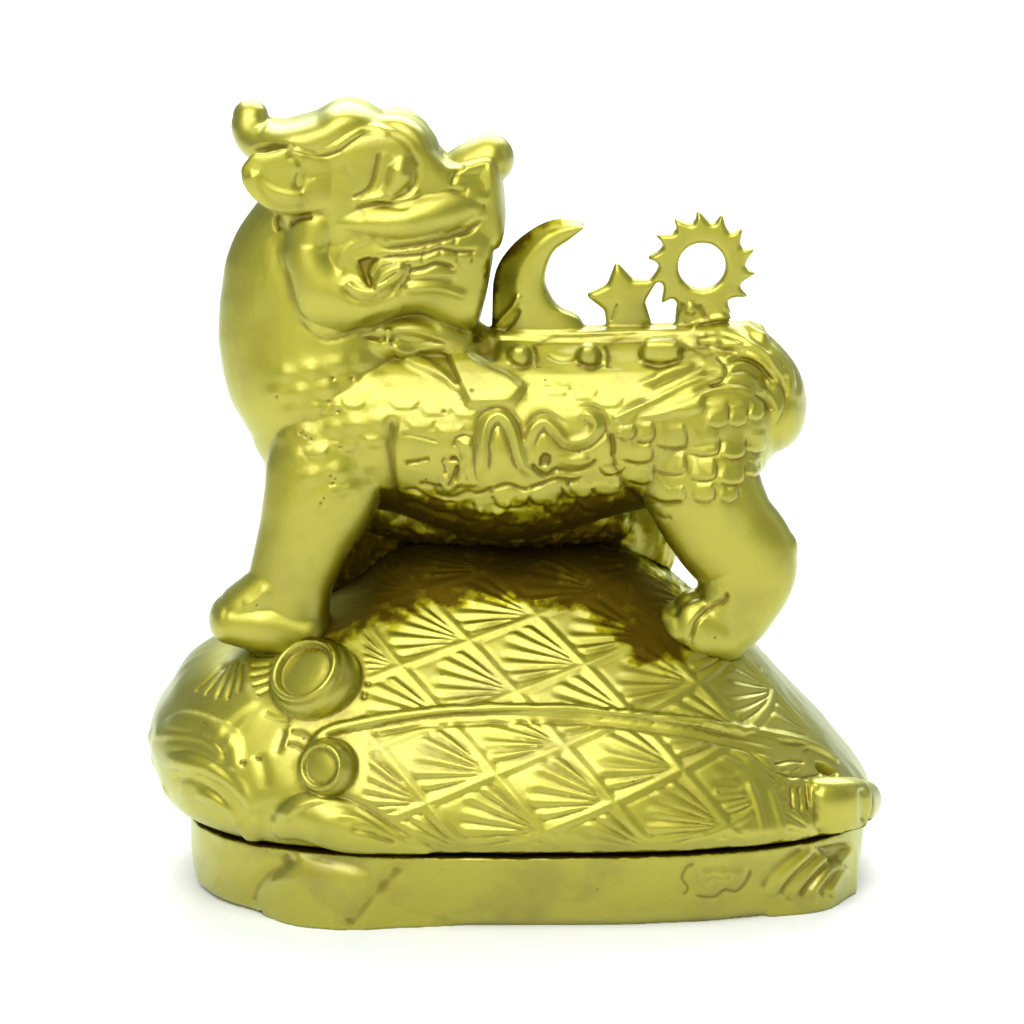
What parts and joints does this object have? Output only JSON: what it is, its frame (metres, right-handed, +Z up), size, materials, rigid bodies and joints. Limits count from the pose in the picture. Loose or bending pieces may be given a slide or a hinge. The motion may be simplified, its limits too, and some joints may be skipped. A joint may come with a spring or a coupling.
{
  "type": "qilin figure",
  "caption": "Cast brass qilin looking back over its shoulder, with moon, star and sun on its spine, standing on the lid of a bundle-shaped box.",
  "frame": {"origin": "on the surface the box stands on, under the middle of the whole piece", "axes": "+Z up; the animal's chest is at -X and its tail at +X; the side with the cloth edge and roll ends faces -Y"},
  "size_m": [0.0656, 0.04, 0.0702],
  "materials": {
    "figure_brass": "satin cast brass, olive gold, darker in the hollows",
    "lid_brass": "satin cast brass with fine relief",
    "box_brass": "satin cast brass, a little duller than the lid"
  },
  "bodies": {
    "root": {"qilin_figure": "figure_brass", "bundle_lid": "lid_brass", "bundle_box": "box_brass"}
  },
  "joints": []
}
